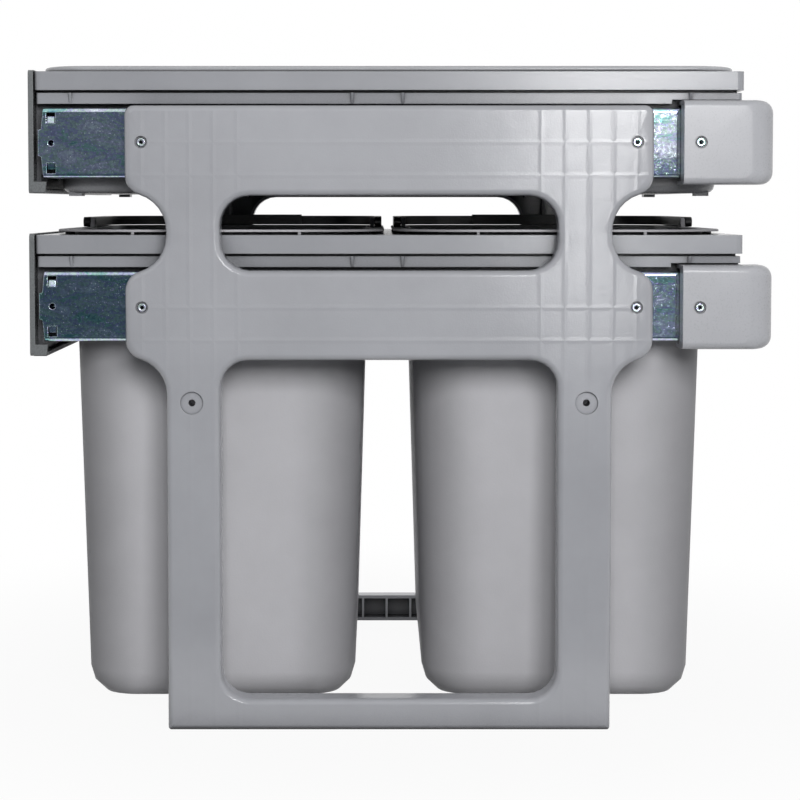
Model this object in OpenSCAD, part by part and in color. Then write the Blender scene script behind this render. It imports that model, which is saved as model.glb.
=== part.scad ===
// Two-tier pull-out bin unit for a kitchen base cabinet.
// Two moulded side frames stand on the cabinet floor and screw to its walls. Each frame carries an
// upper and a lower ball slide. The lower carriage hangs two bins, the upper carriage holds a tray.
// +Z is up, the door side is -Y, and the origin is on the floor under the middle of the unit.

/* [Unit] */
// Width over the outer faces of the two side frames
unit_w = 366; // [320:1:600]
// Height of the lower slides' centre line above the cabinet floor
slide_z = 277; // [230:1:360]
// Height of the upper slides' centre line above the lower one
tier_pitch = 106.7; // [98:0.1:150]

/* [Side frames] */
// Depth of the moulding, from its outer face to its ribbed back
frame_t = 17; // [14:0.5:24]
// Thickness of the outer skin
frame_skin = 3; // [2:0.1:4]
// Thickness of the walls round the outline
frame_wall = 2.5; // [1.5:0.1:4]
// Thickness of the ribs on the back
rib_t = 1.8; // [1:0.1:3]
// Spacing of the upright ribs beside the rivets
rib_pitch = 15.5; // [12:0.5:18]
// Spacing of the ribs along the foot rail
foot_rib_pitch = 19.5; // [15:0.5:40]
// Radius along the edges of the outer face
edge_r = 4; // [1:0.5:5]
// Length of the two bars that carry the slides
bar_len = 342; // [334:1:420]
// Top of a bar above its slide's centre line
bar_above = 23.8; // [23:0.1:25]
// Underside of a bar below its slide's centre line
bar_below = 34.3; // [26:0.1:40]
// Radius at the top corners of the upper bar
bar_top_r = 6; // [5.5:0.5:10]
// Radius at the overhanging ends of the bars
bar_end_r = 13; // [6:0.5:16]
// Distance over the outsides of the two legs
leg_span = 289; // [286:1:320]
// Width of a leg
leg_w = 35; // [24:1:50]
// Largest fillet between a bar and a leg
leg_fillet_r = 24; // [8:1:30]
// Height of the foot rail
foot_rail_h = 20.8; // [14:0.2:40]
// Radius at the outer corners of the foot rail
foot_r = 2; // [1:0.5:6]
// Largest corner radius of the window between the bars
window_r = 19; // [6:1:22]
// Corner radius of the large opening between the legs
opening_r = 18; // [6:1:40]
// How far the frame's middle lies behind the middle of the slides
frame_shift = 4; // [0:0.5:10]

/* [Wall fixings] */
// Spacing of the two screw holes into the cabinet wall
fix_pitch = 256; // [224:32:256]
// Height of those holes above the floor
fix_z = 215; // [120:1:230]
// Diameter of the screw holes
fix_hole_d = 4.5; // [3.5:0.1:6]
// Diameter of the recess round each hole
fix_recess_d = 14.8; // [10:0.2:18]
// Depth of that recess
fix_recess_h = 1.8; // [0.5:0.1:2.5]

/* [Rivets] */
// Spacing of the two rivets that hold a slide to its frame
rivet_pitch = 320; // [304:1:322]
// Diameter of a rivet's shank
rivet_d = 4.8; // [4:0.1:6]
// Diameter of a rivet's head
rivet_head_d = 6; // [5.5:0.1:7]
// Thickness of a rivet's head
rivet_head_h = 1; // [0.6:0.1:1.2]
// Bore of the tubular rivet
rivet_bore_d = 2.4; // [1:0.1:3]
// Diameter of the recess round a rivet's head
rivet_recess_d = 8; // [7.5:0.1:10]
// How far a rivet's head lies below the outer face
rivet_sink = 0.5; // [0.1:0.1:0.8]
// Room round the shank
rivet_play = 0.1; // [0.05:0.05:0.3]

/* [Slides] */
// Length of the outer slide member
rail_len = 450; // [400:10:600]
// Height of the slide
rail_h = 45.8; // [42:0.1:46]
// Thickness of the closed slide
slide_t = 12.7; // [12:0.1:16]
// Sheet thickness of the outer and inner members
sheet_t = 1.2; // [1:0.05:1.5]
// Sheet thickness of the middle member
mid_sheet_t = 1.1; // [0.8:0.05:1.4]
// Diameter of the bearing balls
ball_d = 3; // [2.5:0.1:3.6]
// Room between a ball and its races
ball_play = 0.08; // [0.04:0.01:0.1]
// Number of balls in each row of a cage
ball_count = 6; // [3:1:8]
// Spacing of the balls along a cage
ball_pitch = 30; // [10:1:30]

/* [End caps] */
// Length of a cap
cap_len = 60; // [45:1:70]
// How far a cap reaches past the slide's rear end
cap_over = 29; // [20:1:40]
// Top of a cap above the slide's centre line
cap_above = 27.2; // [25:0.1:28]
// Underside of a cap below the slide's centre line
cap_below = 27.2; // [25:0.1:32]
// Wall of a cap
cap_wall = 2.4; // [1.5:0.1:3]
// Radius of a cap's rear corners, seen from the side
cap_corner_r = 8; // [3:0.5:14]
// Radius of a cap's rear outer edge, seen from above
cap_round_r = 17; // [6:1:22]
// Radius of a cap's upper and lower outer edges
cap_edge_r = 4.5; // [3.5:0.5:6]
// Distance of the cap's rivet from its mouth
cap_rivet_in = 11; // [8:0.5:16]

/* [Carriages] */
// Wall of the carriage moulding
carriage_wall = 3; // [2:0.1:4]
// Top of a carriage above its slides' centre line
carriage_top = 46.6; // [40:0.1:50]
// Height of the outer band of the skirt
band_h = 12.2; // [8:0.1:14]
// Underside of the inner band above the slides' centre line
band_low = 25.6; // [25:0.1:30]
// How far the inner band stands back from the outer one along the sides
band_step = 3.2; // [1:0.1:6]
// How far the inner band stands back at the ends
band_end_step = 1.3; // [0.5:0.1:6]
// Height of the groove between the two bands
groove_h = 1.7; // [1:0.1:3]
// Depth of that groove behind the inner band
groove_d = 4; // [1:0.1:4]
// Gap from the outer band to the side frames' backs
band_gap = 0.6; // [0.4:0.1:3]
// Thickness of the skirt
skirt_t = 2.5; // [1.5:0.1:3.5]
// How far a carriage's side walls hang below the slides' centre line
wall_drop = 20; // [16:1:24]
// How far a carriage reaches past the slides' rear ends
carriage_over = 11; // [4:0.5:16]
// Corner radius of the skirt, seen from above
skirt_r = 5; // [4:0.5:10]

/* [Front plates] */
// Thickness of a front plate
plate_t = 3.4; // [2.5:0.1:5]
// Gap from a front plate to the front ends of the slides
plate_gap = 3.1; // [1:0.1:6]
// How far a front plate's edges stand in from the carriage's outer bands
plate_inset = 0.2; // [0:0.1:5]
// Top of a front plate above the slides' centre line
plate_above = 47.6; // [44:0.1:50]
// Underside of a front plate below the slides' centre line
plate_below = 32.8; // [31:0.1:33]
// Spacing of the door screw holes across the unit
door_pitch_x = 256; // [192:32:256]
// Spacing of the door screw holes up the plate
door_pitch_z = 32; // [16:16:32]
// Diameter of the door screw holes
door_hole_d = 5; // [3.5:0.1:6]

/* [Bins] */
// Wall of a bin
bin_wall = 2.2; // [1.5:0.1:3]
// Draft of the bin walls, in degrees
bin_draft = 1.7; // [0.5:0.1:3]
// Upright corner radius of a bin under its rim
bin_corner_r = 40; // [30:1:60]
// Radius round a bin's base
bin_base_r = 20; // [8:1:24]
// Gap from a bin's base to the cabinet floor
bin_floor_gap = 8; // [4:1:40]
// Gap from a bin to the carriage's side wall
cell_gap = 4.3; // [3:0.1:8]
// Width of the rim along a bin's sides
rim_side = 9; // [8:0.5:12]
// Width of the rim across a bin's ends
rim_end = 11; // [10.5:0.5:16]
// Thickness of the rim
rim_t = 1.5; // [1:0.1:2.5]
// Height of the ribs that carry the rim
rim_lift = 1.9; // [1:0.1:3]
// Gap between the rims of the two bins
rim_gap = 6; // [2:0.5:10]
// Gap from the rims to the ends of the carriage
rim_margin = 7; // [3:0.5:10]

/* [Bin handles] */
// Width of a handle's bow
bow_w = 5; // [4:0.1:5.2]
// Thickness of a handle's bow
bow_t = 7; // [3:0.1:7.5]
// Diameter of a handle's pivot pins
pin_d = 3.8; // [2.5:0.1:4.5]
// Room round a pivot pin
pin_play = 0.06; // [0.02:0.01:0.1]
// Outer diameter of a handle's eyes
eye_d = 6.6; // [5.5:0.1:7]

/* [Tray] */
// Depth of the tray below its rim
tray_depth = 79; // [40:1:80]
// Wall of the tray
tray_wall = 2.2; // [1.5:0.1:3]
// Draft of the tray walls, in degrees
tray_draft = 1.7; // [0.5:0.1:3]
// Upright corner radius of the tray under its rim
tray_corner_r = 20; // [14:1:40]
// Radius round the tray's base
tray_base_r = 5; // [4:1:12]
// Height of the tray's rolled rim
tray_rim_h = 4.3; // [3:0.1:6]
// Height of the tray's feet
tray_foot_h = 2; // [1:0.1:4]
// Gap from the tray's rim to the ends of the carriage
tray_margin = 2; // [1:0.5:6]

/* [Hidden] */
// Wall round a rivet's recess, counted on both sides
boss_wall = 3.4;
// Room between pieces that sit face to face or pass each other
seat_gap = 0.1;
pass_gap = 0.5;
hole_gap = 1.5;
// Names used in loops over the tiers and the sides
TIERS = ["lower", "upper"];
SIDES = ["right", "left"];
PLASTIC = "#a5a6ac";
BIN_PLASTIC = "#aaa9ae";
ZINC = "#c6c8cf";
BLACK = "#1b1b1d";

// Places across the unit
x_out = unit_w / 2;
x_in = x_out - frame_t;
x_wall = x_in - slide_t;
x_cell = x_wall - carriage_wall;
band_x = x_in - band_gap;
plate_x = band_x - plate_inset;

// Places along the unit
unit_l = plate_t + plate_gap + rail_len + cap_over;
y_front = -unit_l / 2;
y_plate = y_front + plate_t;
rail_y0 = y_plate + plate_gap;
rail_y1 = rail_y0 + rail_len;
rail_mid = (rail_y0 + rail_y1) / 2;
frame_y = rail_mid + frame_shift;
cap_y1 = rail_y1 + cap_over;
cap_y0 = cap_y1 - cap_len;
cap_rivet_y = cap_y0 + cap_rivet_in;
carriage_y1 = rail_y1 + carriage_over;
cell_mid = (y_plate + carriage_y1) / 2;
carriage_half = (carriage_y1 - y_plate) / 2;

// Bars of the side frame, from the lower one up
function slide_height(tier) = slide_z + (tier == "upper" ? tier_pitch : 0);
upper_bar = [slide_height("upper") - bar_below, slide_height("upper") + bar_above];
lower_bar = [slide_z - bar_below, slide_z + bar_above];
bar_gap = upper_bar[0] - lower_bar[1];
leg_half = leg_span / 2;
bay_half = leg_half - leg_w;
fillet_r = min(leg_fillet_r, bar_gap / 2 - 0.1);
bay_r = min(window_r, bar_gap / 2 - 0.1);
// The end radius and the fillet meet on a slope, because together they are wider than the overhang
overlap = max(0, leg_half + fillet_r + bar_end_r - bar_len / 2);
slope = asin(overlap / (fillet_r + bar_end_r));
drop = (fillet_r + bar_end_r) * cos(slope);

// Slide section: u runs in from the frame's back, v up from the centre line
race_r = ball_d / 2 + ball_play;
bend_r = race_r + sheet_t;
row_v = rail_h / 2 - sheet_t - race_r;
row_u = 6;
mid_u = 2.6;
mid_v = row_v - race_r;
mid_bend_r = mid_sheet_t + 0.55;
mid_end_u = row_u + 3;
inner_row_u = slide_t - 5.5;
inner_row_v = mid_v - mid_sheet_t - race_r;
inner_v = inner_row_v - race_r;
lip_angle = 20;
cage_t = 0.9;
cage_len = ball_pitch * ball_count;
rail_setback = 2;
mid_setback = 16;
front_hole_in = 8.5;
lance = [5.8, 7];
lance_v = 16.4;
rail_screw_ends = 40;
rail_screw_y = [rail_y0 + rail_screw_ends, rail_mid, rail_y1 - rail_screw_ends];

// Screws
screw_d = 3;
screw_head = [7, 1.8];
plate_screw_d = 3.9;
plate_screw_head = [8, 2];
plate_screw_places = [for (x = [-90, 90], z = [-20, 14]) [x, z]];

// Bins and tray
rim_len = carriage_half - rim_margin - rim_gap / 2;
bin_half = [x_cell - cell_gap, rim_len / 2 - rim_end];
bin_y = (rim_len + rim_gap) / 2;
bin_top = slide_z + carriage_top + rim_lift + rim_t;
lug_t = 3;
lug_in = 1;
arm_y = bin_half.y + lug_in + lug_t + 0.4 + bow_w / 2;
pivot_z = bin_top + eye_d / 2 + 0.3;
bow_x = bin_half.x + rim_side / 2 + 0.5;
bow_r = bin_corner_r;
grip = [90, 8, 1];
tray_rim_z = slide_height("upper") + carriage_top;
tray_half = [x_cell - cell_gap, carriage_half - tray_margin - rim_side];
tray_floor_z = tray_rim_z - tray_depth;
tray_foot = [14, 8.6];
tray_foot_in = [16, 12];

// Points of an arc from angle a0 to angle a1
function arc(c, r, a0, a1, n = 6) =
    [for (i = [0:n]) let (a = a0 + (a1 - a0) * i / n) c + r * [cos(a), sin(a)]];
function reversed(pts) = [for (i = [len(pts) - 1:-1:0]) pts[i]];
// The same points without those that repeat the one before
function distinct(pts) =
    [for (i = [0:len(pts) - 1]) if (i == 0 || norm(pts[i] - pts[i - 1]) > 0.01) pts[i]];
// A rounded rectangle about the origin, given by its half sizes
function round_rect(h, r) = concat(
    arc([h.x - r, h.y - r], r, 0, 90), arc([r - h.x, h.y - r], r, 90, 180),
    arc([r - h.x, r - h.y], r, 180, 270), arc([h.x - r, r - h.y], r, 270, 360));
// An outline from its half on the +x side, whose first and last points lie on x = 0
function whole(half) = concat(half, [for (i = [len(half) - 2:-1:1]) [-half[i].x, half[i].y]]);

// Flat shapes pushed along X or Y: a shape's own y becomes Z
module along_x(x0, x1) translate([x0, 0, 0]) rotate([90, 0, 90]) linear_extrude(x1 - x0) children();
module along_y(y0, y1) translate([0, y1, 0]) rotate([90, 0, 0]) linear_extrude(y1 - y0) children();
module rod_x(x0, x1, d) translate([x0, 0, 0]) rotate([0, 90, 0]) cylinder(d = d, h = x1 - x0, $fn = 32);
module cone_x(x0, x1, d0, d1) translate([x0, 0, 0]) rotate([0, 90, 0])
    cylinder(d1 = d0, d2 = d1, h = x1 - x0, $fn = 32);
module rod_y(y0, y1, d) translate([0, y0, 0]) rotate([-90, 0, 0]) cylinder(d = d, h = y1 - y0, $fn = 32);
module on_side(side) if (side == "right") children(); else mirror([1, 0, 0]) children();
module on_both_sides() for (s = SIDES) on_side(s) children();
module at_slide(tier, side) on_side(side) translate([0, 0, slide_height(tier)]) children();

// Outline of the side frame inside an offset d, as its half behind the frame's middle
function frame_half(d) = let (
    end_y = bar_len / 2 - bar_end_r,
    foot = max(foot_r, d + 0.5),
    fillet_y = leg_half + fillet_r
) distinct(concat(
    [[0, upper_bar[1] - d]],
    arc([bar_len / 2 - bar_top_r, upper_bar[1] - bar_top_r], bar_top_r - d, 90, 0),
    arc([end_y, upper_bar[0] + bar_end_r], bar_end_r - d, 0, slope - 90),
    arc([fillet_y, upper_bar[0] + bar_end_r - drop], fillet_r + d, 90 + slope, 180),
    arc([fillet_y, lower_bar[1] - bar_end_r + drop], fillet_r + d, 180, 270 - slope),
    arc([end_y, lower_bar[1] - bar_end_r], bar_end_r - d, 90 - slope, 0),
    arc([end_y, lower_bar[0] + bar_end_r], bar_end_r - d, 0, slope - 90),
    arc([fillet_y, lower_bar[0] + bar_end_r - drop], fillet_r + d, 90 + slope, 180),
    arc([leg_half - foot, foot], foot - d, 0, -90, 3),
    [[0, d]]));
// A rounded opening in the frame from z0 to z1, grown by d
function bay_half_outline(z0, z1, r, d) = concat(
    [[0, z0 - d]],
    arc([bay_half - r, z0 + r], r + d, 270, 360),
    arc([bay_half - r, z1 - r], r + d, 0, 90),
    [[0, z1 + d]]);
function frame_loops(d) = [
    frame_half(d),
    bay_half_outline(foot_rail_h, lower_bar[0], opening_r, d),
    bay_half_outline(lower_bar[1], upper_bar[0], bay_r, d)];

// The wall along one line of the frame's outline, rounded over into the outer face
module frame_wall_ring(k) {
    section = concat([[0, 0]],
        [for (a = [0:30:90]) [frame_t - edge_r * (1 - sin(a)), edge_r * (1 - cos(a))]],
        [[frame_t, edge_r + 1], [frame_t - frame_skin, edge_r + 1], [frame_t - frame_skin, frame_wall],
            [0, frame_wall]]);
    m = len(section);
    n = len(whole(frame_loops(0)[k]));
    points = [for (place = section, p = whole(frame_loops(place[1])[k])) [place[0], p.x, p.y]];
    polyhedron(points, [for (j = [0:m - 1], i = [0:n - 1]) let (i2 = (i + 1) % n, j2 = (j + 1) % m)
        [j * n + i, j * n + i2, j2 * n + i2, j2 * n + i]]);
}

// The frame's area inside an offset d, without its two openings
module frame_area(d) difference() {
    polygon(whole(frame_loops(d)[0]));
    for (k = [1, 2]) polygon(whole(frame_loops(d)[k]));
}

// Ribs on the frame's back, as bands of thickness rib_t
module frame_ribs() {
    beside_rivets = [for (k = [0:4], s = [-1, 1]) s * (rivet_pitch / 2 - k * rib_pitch)];
    between = [-bay_half / 2, 0, bay_half / 2];
    for (bar = [lower_bar, upper_bar], y = concat(beside_rivets, between))
        translate([y - rib_t / 2, bar[0]]) square([rib_t, bar[1] - bar[0]]);
    for (tier = TIERS, dz = [0, -bar_below * 0.62])
        translate([-bar_len / 2, slide_height(tier) + dz - rib_t / 2]) square([bar_len, rib_t]);
    for (s = [-1, 1]) {
        translate([s * fix_pitch / 2 - rib_t / 2, 0]) square([rib_t, upper_bar[0] + frame_wall]);
        for (z = [foot_rail_h:(lower_bar[0] - foot_rail_h) / 6:lower_bar[0]])
            translate([s * (leg_half - leg_w / 2) - leg_w / 2, z - rib_t / 2]) square([leg_w, rib_t]);
    }
    for (y = [-floor(bay_half / foot_rib_pitch):floor(bay_half / foot_rib_pitch)])
        translate([y * foot_rib_pitch - rib_t / 2, 0]) square([rib_t, foot_rail_h]);
}

// Two rivets to each slide and two wall screws, seen from the frame's side
rivet_places = [for (s = [-1, 1], tier = TIERS) [s * rivet_pitch / 2, slide_height(tier)]];
fix_places = [for (s = [-1, 1]) [s * fix_pitch / 2, fix_z]];

// Skin, walls, ribs and bosses, with the rivet holes and the wall screws' holes drilled through
module side_frame(side) color(PLASTIC) on_side(side) translate([x_in, frame_y, 0]) difference() {
    union() {
        for (k = [0:2]) frame_wall_ring(k);
        along_x(frame_t - frame_skin, frame_t) frame_area(edge_r + 0.5);
        along_x(0, frame_t - frame_skin / 2) intersection() {
            frame_area(frame_wall / 2);
            union() {
                frame_ribs();
                for (p = rivet_places) translate(p) circle(d = rivet_recess_d + boss_wall, $fn = 32);
                for (p = fix_places) translate(p) circle(d = fix_recess_d + 2, $fn = 32);
            }
        }
    }
    for (p = rivet_places) translate([0, p.x, p.y]) rivet_hole(frame_t);
    for (p = fix_places) translate([0, p.x, p.y]) {
        rod_x(-1, frame_t + 1, fix_hole_d);
        rod_x(frame_t - fix_recess_h, frame_t + 1, fix_recess_d);
    }
}

// A rivet's hole through depth t, with the recess for its head at the outer end
module rivet_hole(t) {
    rod_x(-1, t + 1, rivet_d + 2 * rivet_play);
    rod_x(t - rivet_sink - rivet_head_h, t + 1, rivet_recess_d);
}

// A tubular rivet from a bevelled head with a flared bore to a closed end inside the slide
module rivet() {
    face = x_out - rivet_sink;
    difference() {
        union() {
            rod_x(x_in - sheet_t - rivet_head_h, face - rivet_head_h / 2, rivet_d);
            rod_x(face - rivet_head_h, face - rivet_head_h / 2, rivet_head_d);
            cone_x(face - rivet_head_h / 2, face, rivet_head_d, rivet_head_d - rivet_head_h);
            rod_x(x_in - sheet_t - rivet_head_h, x_in - sheet_t, rivet_head_d);
        }
        rod_x(x_in, face + 1, rivet_bore_d);
        cone_x(face - rivet_head_h / 2, face + rivet_head_h / 2, rivet_bore_d,
            rivet_bore_d + 2 * rivet_head_h);
    }
}

module frame_rivets() color(ZINC) on_both_sides()
    for (p = rivet_places) translate([0, frame_y + p.x, p.y]) rivet();
module cap_rivets() color(ZINC) for (t = TIERS, s = SIDES) at_slide(t, s)
    translate([0, cap_rivet_y, 0]) rivet();

// A bent sheet section from its outer and inner lines above the centre line
function sheet_section(outer, inner) = let (
    below = function (pts) [for (p = pts) [p.x, -p.y]]
) concat(outer, reversed(inner), below(inner), reversed(below(outer)));
outer_section = sheet_section(
    concat(arc([bend_r, row_v], bend_r, 180, 90), arc([row_u, row_v], bend_r, 90, -lip_angle)),
    concat(arc([bend_r, row_v], race_r, 180, 90), arc([row_u, row_v], race_r, 90, -lip_angle)));
middle_section = sheet_section(
    concat(arc([mid_u + mid_bend_r, mid_v - mid_bend_r], mid_bend_r, 180, 90), [[mid_end_u, mid_v]]),
    concat(arc([mid_u + mid_bend_r, mid_v - mid_bend_r], mid_bend_r - mid_sheet_t, 180, 90),
        [[mid_end_u, mid_v - mid_sheet_t]]));
inner_section = sheet_section(
    concat(arc([slide_t - bend_r, inner_v - bend_r], bend_r, 0, 90),
        arc([inner_row_u, inner_row_v], race_r, 270, 180 - lip_angle)),
    concat(arc([slide_t - bend_r, inner_v - bend_r], race_r, 0, 90),
        arc([inner_row_u, inner_row_v], bend_r, 270, 180 - lip_angle)));

// A slide member of the right side, between two places along the unit
module member(section, y0, y1) translate([x_in, 0, 0]) mirror([1, 0, 0]) along_y(y0, y1) polygon(section);

// The outer member has a tongued front end with a stop hole and two slots, each with its tab bent inwards
module outer_rail(tier, side) color(ZINC) at_slide(tier, side) {
    hole_y = rail_y0 + front_hole_in;
    difference() {
        member(outer_section, rail_y0, rail_y1);
        for (y = [frame_y - rivet_pitch / 2, frame_y + rivet_pitch / 2, cap_rivet_y])
            translate([0, y, 0]) rod_x(x_in - 2 * sheet_t, x_in + 1, rivet_d + 2 * rivet_play);
        translate([0, hole_y, 0]) rod_x(x_in - 2 * sheet_t, x_in + 1, 4);
        for (s = [-1, 1]) {
            along_x(x_in - 2 * sheet_t, x_in + 1)
                translate([hole_y, s * lance_v]) square(lance, center = true);
            along_x(x_wall - 1, x_in + 1) polygon([[rail_y0 - 1, s * 8], [rail_y0 + 2, s * 9],
                [rail_y0 + 3, s * 19], [rail_y0 + 6, s * rail_h], [rail_y0 - 1, s * rail_h]]);
        }
    }
    for (s = [0, 1]) mirror([0, 0, s]) along_y(hole_y - lance.x / 2 + 0.6, hole_y + lance.x / 2 - 0.6)
        translate([x_in, lance_v - lance.y / 2]) polygon([[-0.1, -0.3], [-0.1, 0.3], [-1, lance.y * 0.62],
            [-1.9, lance.y * 0.62], [0.1 - sheet_t, -0.3]]);
}

module middle_rail(tier, side) color(ZINC) at_slide(tier, side)
    member(middle_section, rail_y0 + mid_setback, rail_y1 - 1.5 * rail_setback);

module inner_rail(tier, side) color(ZINC) at_slide(tier, side) difference() {
    member(inner_section, rail_y0 + rail_setback, rail_y1 - rail_setback);
    for (y = rail_screw_y) translate([0, y, 0]) rod_x(x_wall - 1, x_wall + 2 * sheet_t, screw_d + 0.2);
}

// A pair of combs, above and below, whose open pockets space the balls along a race
module cage(u0, u1, row) for (s = [-1, 1]) difference() {
    translate([x_in - u1, rail_mid - cage_len / 2, s * row.y - cage_t / 2])
        cube([u1 - u0, cage_len, cage_t]);
    for (i = [0:ball_count - 1]) translate([x_in - row.x, ball_place(i), s * row.y - cage_t])
        cylinder(d = ball_d + 2 * ball_play, h = 2 * cage_t, $fn = 24);
}
function ball_place(i) = rail_mid + (i - (ball_count - 1) / 2) * ball_pitch;

module outer_cage(tier, side) color(BLACK) at_slide(tier, side)
    cage(row_u - race_r - 1.1, row_u + race_r - 0.5, [row_u, row_v]);
module inner_cage(tier, side) color(BLACK) at_slide(tier, side)
    cage(inner_row_u - race_r + 0.5, inner_row_u + race_r + 1.1, [inner_row_u, inner_row_v]);

module ball_rows(tier, row) color(ZINC) for (side = SIDES) at_slide(tier, side)
    for (s = [-1, 1], i = [0:ball_count - 1])
        translate([x_in - row.x, ball_place(i), s * row.y]) sphere(d = ball_d, $fn = 24);
module outer_balls(tier) ball_rows(tier, [row_u, row_v]);
module inner_balls(tier) ball_rows(tier, [inner_row_u, inner_row_v]);

// A cap's form inside an offset d: its outline from the side, drawn in towards the rounded outer face
function round_fall(r, depth) = depth < r ? r - sqrt(r * r - pow(r - depth, 2)) : 0;
function cap_outline(depth, d) = let (
    edge = d + round_fall(cap_edge_r - d, depth),
    y1 = cap_y1 - d - round_fall(cap_round_r - d, depth),
    r = cap_corner_r - edge,
    low = edge - cap_below,
    high = cap_above - edge
) [for (p = concat([[cap_y0 - d, low]], arc([y1 - r, low + r], r, -90, 0),
    arc([y1 - r, high - r], r, 0, 90), [[cap_y0 - d, high]])) [x_out - d - depth, p.x, p.y]];
module cap_form(d) skin([for (depth = concat([x_out - x_wall - pass_gap - 2 * d],
    [for (a = [0:10:90]) (cap_round_r - d) * (1 - sin(a))])) cap_outline(depth, d)]);

// The cap slips over the slide's end: open at the front, and open inwards beside the slide
buffer_y0 = rail_y1 - rail_setback + 0.3;
buffer_x = [x_wall + pass_gap + cap_wall + 0.3, x_in - sheet_t - 0.3];
spigot_d = 5;
spigot_x = (buffer_x[0] + buffer_x[1]) / 2;
module end_cap(tier, side) color(PLASTIC) at_slide(tier, side) difference() {
    union() {
        difference() {
            cap_form(0);
            cap_form(cap_wall);
            translate([x_wall - 1, cap_y0 - 1, cap_wall - cap_below])
                cube([frame_t, rail_y1 + 4 - cap_y0, cap_above + cap_below - 2 * cap_wall]);
        }
        translate([0, cap_rivet_y, 0]) rod_x(x_in, x_out - cap_wall / 2, rivet_recess_d + boss_wall);
        for (s = [-1, 1]) translate([x_in, cap_y0 + 2, s * 15 - rib_t / 2])
            cube([frame_t - cap_wall / 2, cap_len - 2 - cap_wall / 2 - cap_round_r, rib_t]);
        translate([spigot_x, 0, 0]) rod_y(rail_y1 + 6, cap_y1 - cap_wall / 2, spigot_d);
    }
    translate([x_in, cap_rivet_y, 0]) rivet_hole(frame_t);
}

// Rubber stops pushed on the caps' spigots, just behind the closed inner members
module stop_buffers() color(BLACK) for (t = TIERS, s = SIDES) at_slide(t, s) difference() {
    along_y(buffer_y0, rail_y1 + 12) translate([buffer_x[0], -14]) square([buffer_x[1] - buffer_x[0], 28]);
    translate([spigot_x, 0, 0]) rod_y(rail_y1 + 6 - seat_gap, rail_y1 + 13, spigot_d + 2 * seat_gap);
}

// A ring of the carriage's skirt, from one inset to a larger one
module skirt_ring(from, to, end_from = 0) translate([0, cell_mid]) difference() {
    polygon(round_rect([band_x - from, carriage_half - end_from], skirt_r - min(from, skirt_r - 1)));
    polygon(round_rect([band_x - to, carriage_half - to], 1));
}
// Openings in the carriage's deck for what hangs in it
module deck_cells(tier) if (tier == "lower")
    for (s = [-1, 1]) translate([0, cell_mid + s * bin_y])
        polygon(round_rect(bin_half + [hole_gap, hole_gap], bin_corner_r + hole_gap));
else translate([0, cell_mid])
    polygon(round_rect(tray_half + [hole_gap, hole_gap], tray_corner_r + hole_gap));

band_z = carriage_top - band_h;
groove_in = band_step + groove_d;
skirt_rib_pitch = 36;
gusset_y = [-209, -25, 8, 196];
module carriage(tier) color(PLASTIC) translate([0, 0, slide_height(tier)]) difference() {
    union() {
        translate([0, 0, carriage_top - carriage_wall]) linear_extrude(carriage_wall) difference() {
            translate([0, cell_mid]) polygon(round_rect([band_x, carriage_half], skirt_r));
            deck_cells(tier);
        }
        translate([0, 0, band_z]) linear_extrude(band_h - carriage_wall / 2) skirt_ring(0, skirt_t);
        translate([0, 0, band_z]) linear_extrude(2) skirt_ring(0, groove_in + skirt_t);
        translate([0, 0, band_low]) linear_extrude(band_z - band_low + 1)
            skirt_ring(groove_in, groove_in + skirt_t, band_end_step + groove_d);
        translate([0, 0, band_low]) linear_extrude(band_z - groove_h - band_low)
            skirt_ring(band_step, groove_in + 1, band_end_step);
        on_both_sides() carriage_side();
        along_y(y_plate, y_plate + carriage_wall)
            translate([-x_wall, -plate_below + skirt_t + pass_gap])
                square([2 * x_wall, plate_below - skirt_t + carriage_top - 1 - pass_gap]);
        along_y(carriage_y1 - band_step - skirt_t, carriage_y1 - band_step)
            translate([-x_wall, -wall_drop]) square([2 * x_wall, wall_drop + carriage_top - 1]);
        if (tier == "lower") for (s = [-1, 1])
            along_y(cell_mid + s * 7 - 1, cell_mid + s * 7 + 1)
                translate([-x_wall + 1, carriage_top - 20]) square([2 * x_wall - 2, 19]);
    }
    on_both_sides() translate([x_wall + 0.1, cap_y0 - 5, band_low - 1])
        cube([x_out - x_wall, carriage_y1 - cap_y0 + 6, cap_above + 1 - band_low + 1]);
    on_both_sides() for (y = rail_screw_y)
        translate([0, y, 0]) rod_x(x_cell - 1, x_wall + 1, screw_d + 0.2);
    for (p = plate_screw_places) translate([p.x, 0, p.y])
        rod_y(y_plate - 1, y_plate + carriage_wall + 1, plate_screw_d + 0.2);
    for (x = [-1, 1], z = [-1, 1]) translate([x * door_pitch_x / 2, 0, z * door_pitch_z / 2])
        rod_y(y_plate - 1, y_plate + carriage_wall + 1, 12);
}

// One side of the carriage: the wall on the slide, with ribs out to the skirt and gussets on its inner band
module carriage_side() {
    along_y(y_plate, carriage_y1 - band_step) translate([x_cell, -wall_drop])
        square([carriage_wall, wall_drop + carriage_top - 1]);
    for (y = [y_plate + 20:skirt_rib_pitch:carriage_y1 - 10])
        along_y(y, y + rib_t) translate([x_wall - 1, band_z])
            square([band_x - x_wall - 0.5, band_h - 1]);
    for (y = gusset_y) along_y(frame_y + y, frame_y + y + rib_t)
        polygon([[band_x - band_step - 1, band_low], [band_x - band_step, band_low],
            [band_x - 0.6, band_z - groove_h], [band_x - band_step - 1, band_z - groove_h]]);
}

// A pan head screw along +x, with its head below x = 0 and a cross recess in it
module pan_screw(head, d, length) difference() {
    union() {
        rod_x(-head[1] / 2, 0, head[0]);
        cone_x(-head[1], -head[1] / 2, head[0] - head[1], head[0]);
        rod_x(-head[1] / 2, length, d);
    }
    for (turn = [0, 90]) rotate([turn, 0, 0]) translate([-head[1] - 1, -0.45, -head[0] / 4])
        cube([head[1] / 2 + 1, 0.9, head[0] / 2]);
}

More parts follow.
